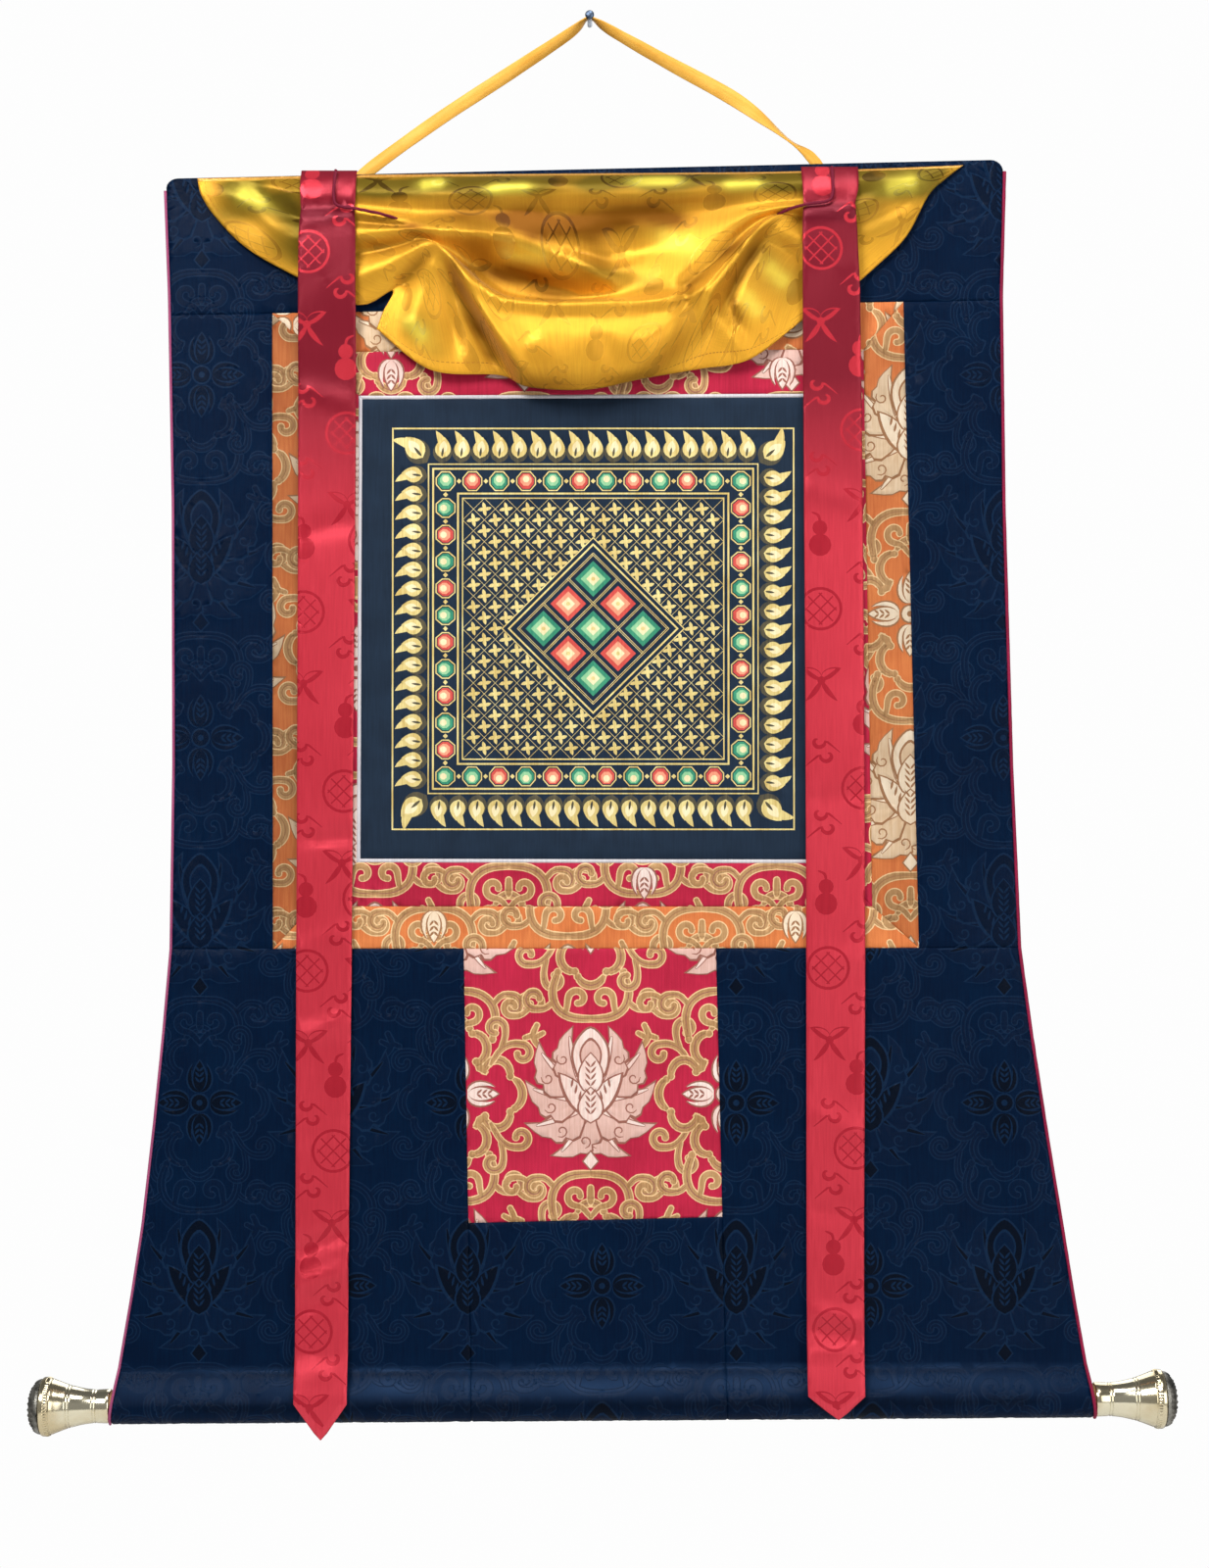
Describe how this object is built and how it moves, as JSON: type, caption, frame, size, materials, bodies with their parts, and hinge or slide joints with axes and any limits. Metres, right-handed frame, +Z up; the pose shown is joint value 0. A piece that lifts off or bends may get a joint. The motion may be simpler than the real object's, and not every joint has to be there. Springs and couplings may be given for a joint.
{
  "type": "thangka scroll painting with hanging nail",
  "caption": "Hanging scroll: painted canvas in red, orange and navy brocade, with a swagged silk veil, silk streamers and a knobbed rod, on its nail.",
  "frame": {"origin": "centre of the nail's flat inner end, in the plane the scroll hangs in front of", "axes": "+Z up along the hanging scroll, +Y out of the back of the scroll along the nail, +X to the viewer's right"},
  "size_m": [0.7335, 0.0392, 0.912],
  "materials": {
    "nail": "satin",
    "gold_tape": "satin",
    "navy_damask": "satin",
    "orange_brocade": "satin",
    "red_brocade": "satin",
    "white_edging": "matte",
    "painted_canvas": "matte",
    "gold_silk": "satin",
    "crimson_silk": "satin",
    "crimson_cord": "matte",
    "binding_left": "satin",
    "binding_right": "satin",
    "rod_wood": "matte",
    "knob_brass": "polished",
    "cap_metal": "satin"
  },
  "bodies": {
    "root": {"nail": "nail", "hanging_ribbon": "gold_tape", "navy_top": "navy_damask", "navy_left": "navy_damask", "navy_right": "navy_damask", "navy_lower_left": "navy_damask", "navy_lower_centre": "navy_damask", "navy_lower_right": "navy_damask", "orange_border_top": "orange_brocade", "orange_border_bottom": "orange_brocade", "orange_border_left": "orange_brocade", "orange_border_right": "orange_brocade", "red_border_top": "red_brocade", "red_border_bottom": "red_brocade", "red_border_left": "red_brocade", "red_border_right": "red_brocade", "door_panel": "red_brocade", "white_edging_top": "white_edging", "white_edging_bottom": "white_edging", "white_edging_left": "white_edging", "white_edging_right": "white_edging", "painting": "painted_canvas", "veil": "gold_silk", "strap_left": "crimson_silk", "strap_right": "crimson_silk", "veil_tie_left": "crimson_cord", "veil_tie_right": "crimson_cord", "edge_binding_left": "binding_left", "edge_binding_right": "binding_right", "rod": "rod_wood", "knob_left": "knob_brass", "knob_right": "knob_brass", "knob_cap_left": "cap_metal", "knob_cap_right": "cap_metal"}
  },
  "joints": []
}
